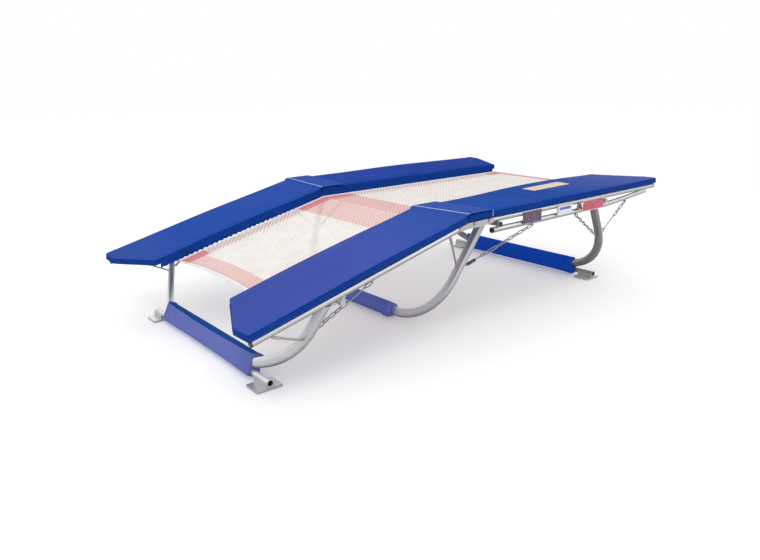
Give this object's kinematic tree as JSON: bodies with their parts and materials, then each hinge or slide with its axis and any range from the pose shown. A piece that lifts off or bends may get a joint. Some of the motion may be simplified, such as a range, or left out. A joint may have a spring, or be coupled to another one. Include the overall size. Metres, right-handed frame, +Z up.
{
  "type": "double mini trampoline",
  "caption": "Two-section gymnastics trampoline: sloped run-in and level bed between padded side rails, on folding padded leg frames with chains.",
  "frame": {"origin": "centre of the bounding box at floor level", "axes": "+X from the low run-in end to the high end, +Y to the left side, +Z up"},
  "size_m": [3.4042, 1.85, 0.7592],
  "materials": {
    "galvanised_rail": "satin",
    "zinc_fitting": "satin",
    "violet_plate": "satin",
    "red_plate": "satin",
    "black_cap": "matte",
    "sloped_vinyl": "satin",
    "level_vinyl": "satin",
    "spring_steel": "satin",
    "bed_net": "woven",
    "leg_tube": "satin",
    "rear_leg_tube": "satin",
    "rubber_foot": "matte",
    "bar_vinyl": "satin",
    "rear_bar_vinyl": "satin",
    "chain_steel": "bright",
    "stay_rod": "satin"
  },
  "bodies": {
    "frame": {"sloped_rail_left": "galvanised_rail", "high_rail_left": "galvanised_rail", "truss_rail_left": "galvanised_rail", "fold_splice_left": "zinc_fitting", "web_plate_violet_left": "violet_plate", "web_plate_red_left": "red_plate", "front_hinge_bracket_left": "zinc_fitting", "mid_hinge_bracket_left": "zinc_fitting", "rear_hinge_bracket_left": "zinc_fitting", "rail_cap_low_left": "black_cap", "truss_cap_left": "black_cap", "low_pad_left": "sloped_vinyl", "high_pad_left": "level_vinyl", "spring_row_left": "spring_steel", "sloped_rail_right": "galvanised_rail", "high_rail_right": "galvanised_rail", "truss_rail_right": "galvanised_rail", "fold_splice_right": "zinc_fitting", "web_plate_violet_right": "violet_plate", "web_plate_red_right": "red_plate", "front_hinge_bracket_right": "zinc_fitting", "mid_hinge_bracket_right": "zinc_fitting", "rear_hinge_bracket_right": "zinc_fitting", "rail_cap_low_right": "black_cap", "truss_cap_right": "black_cap", "low_pad_right": "sloped_vinyl", "high_pad_right": "level_vinyl", "spring_row_right": "spring_steel", "bed_net": "bed_net"},
    "front_leg_frame": {"front_leg_left": "leg_tube", "front_foot_left": "zinc_fitting", "front_leg_right": "leg_tube", "front_foot_right": "zinc_fitting", "front_crossbar": "leg_tube", "front_bar_pad": "bar_vinyl"},
    "mid_leg_frame": {"mid_leg_left": "leg_tube", "mid_foot_left": "rubber_foot", "mid_leg_right": "leg_tube", "mid_foot_right": "rubber_foot", "mid_crossbar": "leg_tube", "mid_bar_pad": "bar_vinyl"},
    "rear_leg_frame": {"rear_leg_left": "rear_leg_tube", "rear_foot_left": "zinc_fitting", "rear_leg_right": "rear_leg_tube", "rear_foot_right": "zinc_fitting", "rear_crossbar": "rear_leg_tube", "rear_bar_pad": "rear_bar_vinyl"},
    "front_chain_left": {"front_chain_left": "chain_steel"},
    "front_chain_right": {"front_chain_right": "chain_steel"},
    "mid_chain_left": {"mid_chain_left": "chain_steel"},
    "mid_chain_right": {"mid_chain_right": "chain_steel"},
    "rear_inner_chain_left": {"rear_inner_chain_left": "chain_steel"},
    "rear_inner_chain_right": {"rear_inner_chain_right": "chain_steel"},
    "rear_outer_chain_left": {"rear_outer_chain_left": "chain_steel"},
    "rear_outer_chain_right": {"rear_outer_chain_right": "chain_steel"},
    "front_stay_left": {"front_stay_left": "stay_rod"},
    "front_stay_right": {"front_stay_right": "stay_rod"},
    "mid_stay_left": {"mid_stay_left": "stay_rod"},
    "mid_stay_right": {"mid_stay_right": "stay_rod"}
  },
  "joints": [
    {"name": "front_leg_fold", "type": "hinge", "parent": "frame", "child": "front_leg_frame", "pos_m": [-1.17915, 0, 0.444], "axis": [0, 1, 0], "range_deg": [-126, 0]},
    {"name": "mid_leg_fold", "type": "hinge", "parent": "frame", "child": "mid_leg_frame", "pos_m": [-0.05515, 0, 0.66042], "axis": [0, 1, 0], "range_deg": [-107, 0]},
    {"name": "rear_leg_fold", "type": "hinge", "parent": "frame", "child": "rear_leg_frame", "pos_m": [1.04085, 0, 0.66042], "axis": [0, 1, 0], "range_deg": [0, 90]},
    {"name": "front_chain_left_swing", "type": "hinge", "parent": "frame", "child": "front_chain_left", "pos_m": [-0.99015, 0.9, 0.50396], "axis": [0, 1, 0], "range_deg": [-126.5, 0]},
    {"name": "front_chain_right_swing", "type": "hinge", "parent": "frame", "child": "front_chain_right", "pos_m": [-0.99015, -0.9, 0.50396], "axis": [0, 1, 0], "range_deg": [-126.5, 0]},
    {"name": "mid_chain_left_swing", "type": "hinge", "parent": "frame", "child": "mid_chain_left", "pos_m": [0.27285, 0.9, 0.60555], "axis": [0, 1, 0], "range_deg": [-118.2, 0]},
    {"name": "mid_chain_right_swing", "type": "hinge", "parent": "frame", "child": "mid_chain_right", "pos_m": [0.27285, -0.9, 0.60555], "axis": [0, 1, 0], "range_deg": [-118.2, 0]},
    {"name": "rear_inner_chain_left_swing", "type": "hinge", "parent": "frame", "child": "rear_inner_chain_left", "pos_m": [0.72285, 0.9, 0.60555], "axis": [0, 1, 0], "range_deg": [0, 104]},
    {"name": "rear_inner_chain_right_swing", "type": "hinge", "parent": "frame", "child": "rear_inner_chain_right", "pos_m": [0.72285, -0.9, 0.60555], "axis": [0, 1, 0], "range_deg": [0, 104]},
    {"name": "rear_outer_chain_left_swing", "type": "hinge", "parent": "frame", "child": "rear_outer_chain_left", "pos_m": [1.32285, 0.9, 0.62224], "axis": [0, 1, 0], "range_deg": [-31, 0]},
    {"name": "rear_outer_chain_right_swing", "type": "hinge", "parent": "frame", "child": "rear_outer_chain_right", "pos_m": [1.32285, -0.9, 0.62224], "axis": [0, 1, 0], "range_deg": [-31, 0]},
    {"name": "front_stay_left_swing", "type": "hinge", "parent": "frame", "child": "front_stay_left", "pos_m": [-1.56715, 0.9, 0.36491], "axis": [0, 1, 0], "range_deg": [0, 65.1]},
    {"name": "front_stay_right_swing", "type": "hinge", "parent": "frame", "child": "front_stay_right", "pos_m": [-1.56715, -0.9, 0.36491], "axis": [0, 1, 0], "range_deg": [0, 65.1]},
    {"name": "mid_stay_left_swing", "type": "hinge", "parent": "frame", "child": "mid_stay_left", "pos_m": [-0.44015, 0.9, 0.63651], "axis": [0, 1, 0], "range_deg": [0, 44.4]},
    {"name": "mid_stay_right_swing", "type": "hinge", "parent": "frame", "child": "mid_stay_right", "pos_m": [-0.44015, -0.9, 0.63651], "axis": [0, 1, 0], "range_deg": [0, 44.4]}
  ],
  "couplings": [
    {"joint": "front_chain_left_swing", "follows": "front_leg_fold", "ratio": 1},
    {"joint": "front_chain_right_swing", "follows": "front_leg_fold", "ratio": 1},
    {"joint": "mid_chain_left_swing", "follows": "mid_leg_fold", "ratio": 1.1},
    {"joint": "mid_chain_right_swing", "follows": "mid_leg_fold", "ratio": 1.1},
    {"joint": "rear_inner_chain_left_swing", "follows": "rear_leg_fold", "ratio": 1.15},
    {"joint": "rear_inner_chain_right_swing", "follows": "rear_leg_fold", "ratio": 1.15},
    {"joint": "rear_outer_chain_left_swing", "follows": "rear_leg_fold", "ratio": -0.339},
    {"joint": "rear_outer_chain_right_swing", "follows": "rear_leg_fold", "ratio": -0.339},
    {"joint": "front_stay_left_swing", "follows": "front_leg_fold", "ratio": -0.513},
    {"joint": "front_stay_right_swing", "follows": "front_leg_fold", "ratio": -0.513},
    {"joint": "mid_stay_left_swing", "follows": "mid_leg_fold", "ratio": -0.4101},
    {"joint": "mid_stay_right_swing", "follows": "mid_leg_fold", "ratio": -0.4101}
  ]
}
